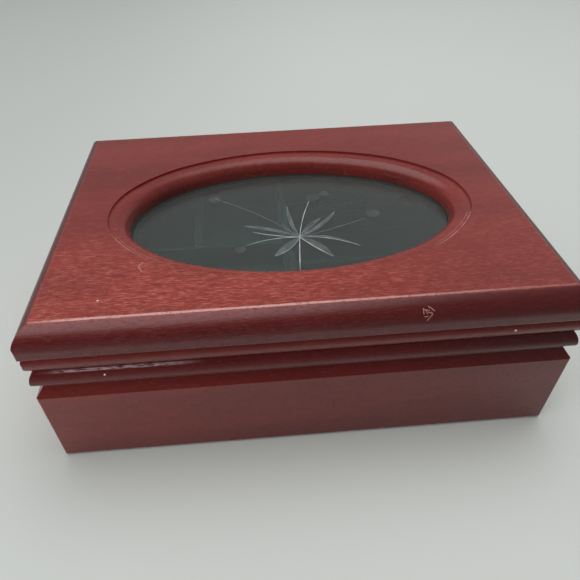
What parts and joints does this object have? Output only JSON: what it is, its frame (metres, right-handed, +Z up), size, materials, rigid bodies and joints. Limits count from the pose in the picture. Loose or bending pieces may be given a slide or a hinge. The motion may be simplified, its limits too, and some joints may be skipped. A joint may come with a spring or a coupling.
{
  "type": "jewelry box with hinged glass lid",
  "caption": "Rectangular wooden jewelry box with moulded sides, a hinged lid with an oval cut-glass window, and a sliding tray and ring rolls inside.",
  "frame": {"origin": "middle of the underside, on the surface that the box stands on", "axes": "+X to the right along the longest side, +Y to the back where the hinges are, +Z up"},
  "size_m": [0.254, 0.187, 0.09],
  "materials": {
    "red_lacquered_wood": "satin red-brown lacquer over fine straight grain",
    "floor_wood": "bare thin plywood",
    "green_velvet": "dark green velvet over card",
    "ring_roll_velvet": "dark green velvet over foam",
    "dark_felt": "pressed felt",
    "clear_glass": "polished float glass with wheel-cut ornament",
    "black_gasket": "matt",
    "brass": "lacquered brass, slightly dulled"
  },
  "bodies": {
    "base": {"base_front_board": "red_lacquered_wood", "base_back_board": "red_lacquered_wood", "base_left_board": "red_lacquered_wood", "base_right_board": "red_lacquered_wood", "base_floor": "floor_wood", "base_felt": "dark_felt", "floor_lining": "green_velvet", "front_lining": "green_velvet", "back_lining": "green_velvet", "left_lining": "green_velvet", "right_lining": "green_velvet", "front_tray_rail": "red_lacquered_wood", "back_tray_rail": "red_lacquered_wood", "long_divider": "green_velvet", "cross_divider": "green_velvet", "ring_roll_1": "ring_roll_velvet", "ring_roll_2": "ring_roll_velvet", "ring_roll_3": "ring_roll_velvet", "ring_roll_4": "ring_roll_velvet", "ring_roll_5": "ring_roll_velvet", "ring_roll_6": "ring_roll_velvet", "left_hinge_base_leaf": "brass", "left_hinge_pin": "brass", "right_hinge_base_leaf": "brass", "right_hinge_pin": "brass", "base_hinge_screws": "brass"},
    "lid": {"lid_panel": "red_lacquered_wood", "lid_front_rail": "red_lacquered_wood", "lid_back_rail": "red_lacquered_wood", "lid_left_rail": "red_lacquered_wood", "lid_right_rail": "red_lacquered_wood", "glass_pane": "clear_glass", "glass_gasket": "black_gasket", "lid_lining": "green_velvet", "left_hinge_lid_leaf": "brass", "right_hinge_lid_leaf": "brass", "lid_hinge_screws": "brass", "lid_bumpers": "dark_felt"},
    "tray": {"tray_front_wall": "green_velvet", "tray_back_wall": "green_velvet", "tray_left_wall": "green_velvet", "tray_right_wall": "green_velvet", "tray_floor": "floor_wood", "tray_liner": "green_velvet", "tray_cross_divider": "green_velvet", "tray_long_divider": "green_velvet"}
  },
  "joints": [
    {"name": "lid_hinge", "type": "hinge", "parent": "base", "child": "lid", "pos_m": [0, 0.0912, 0.06505], "axis": [-1, 0, 0], "range_deg": [0, 100]},
    {"name": "tray_slide", "type": "slide", "parent": "base", "child": "tray", "axis": [1, 0, 0], "range_m": [0, 0.1114]}
  ]
}
